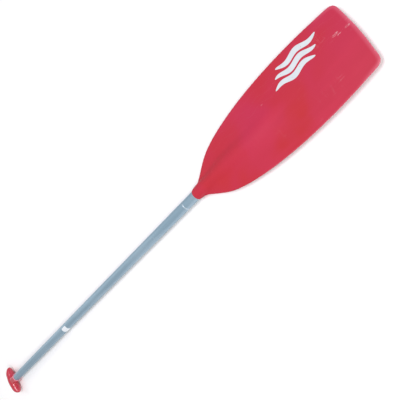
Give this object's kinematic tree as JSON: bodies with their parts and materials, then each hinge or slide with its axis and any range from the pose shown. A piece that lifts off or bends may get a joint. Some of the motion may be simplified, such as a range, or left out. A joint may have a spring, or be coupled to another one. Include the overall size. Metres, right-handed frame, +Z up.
{
  "type": "canoe paddle",
  "caption": "Single-bladed canoe paddle: straight aluminium tube shaft, moulded flat blade with a socketed spine and a moulded T grip.",
  "frame": {"origin": "midway between the palm side of the grip and the tip of the blade, below the shaft's axis, on the surface that the paddle lies on", "axes": "+X along the shaft from the grip to the blade's tip, +Y across the blade to its printed half, +Z up through the blade's front face"},
  "size_m": [1.7243, 0.1742, 0.035],
  "materials": {
    "blade_plastic": "semi-gloss moulded polypropylene, red",
    "anodised_tube": "satin anodised, blue grey",
    "grip_plastic": "glossy moulded plastic, red",
    "plug_plastic": "matt moulded polyethylene, black",
    "glue": "cured adhesive, cloudy amber",
    "rivet_alloy": "plain bright alloy",
    "mandrel_steel": "plain steel, broken end",
    "label_film": "satin vinyl film, white"
  },
  "bodies": {
    "root": {"blade": "blade_plastic", "shaft_tube": "anodised_tube", "t_grip": "grip_plastic", "lower_plug": "plug_plastic", "grip_plug": "plug_plastic", "blade_glue": "glue", "grip_glue": "glue", "blade_rivet": "rivet_alloy", "blade_rivet_mandrel": "mandrel_steel", "grip_rivet": "rivet_alloy", "grip_rivet_mandrel": "mandrel_steel", "shaft_label": "label_film"}
  },
  "joints": []
}
